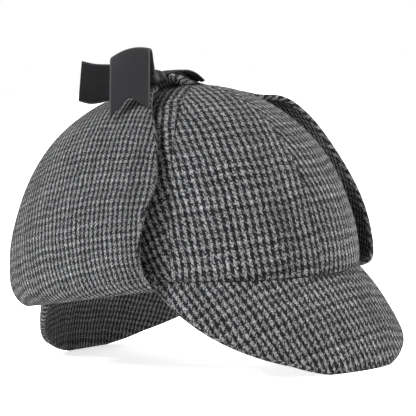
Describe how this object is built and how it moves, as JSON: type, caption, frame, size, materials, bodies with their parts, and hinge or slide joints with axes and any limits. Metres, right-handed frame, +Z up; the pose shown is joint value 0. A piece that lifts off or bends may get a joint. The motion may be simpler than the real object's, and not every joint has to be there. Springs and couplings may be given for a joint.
{
  "type": "deerstalker hat",
  "caption": "Soft tweed deerstalker hat with a front and a back peak, and ear flaps tied up over the crown by a ribbon bow.",
  "frame": {"origin": "on the floor, under the middle of the hat's box", "axes": "+Z up, the front peak towards -Y, the wearer's right side towards -X"},
  "size_m": [0.2165, 0.2603, 0.1926],
  "materials": {
    "tweed": "black and light grey houndstooth wool tweed",
    "ribbon": "charcoal grosgrain ribbon"
  },
  "bodies": {
    "root": {"crown_gore_1": "tweed", "crown_gore_2": "tweed", "crown_gore_3": "tweed", "crown_gore_4": "tweed", "crown_gore_5": "tweed", "crown_gore_6": "tweed", "front_peak": "tweed", "back_peak": "tweed", "ear_flap_right": "tweed", "ear_flap_left": "tweed", "bow_knot": "ribbon", "bow_front_tail": "ribbon", "bow_back_tail": "ribbon", "ribbon_strap": "ribbon"}
  },
  "joints": []
}
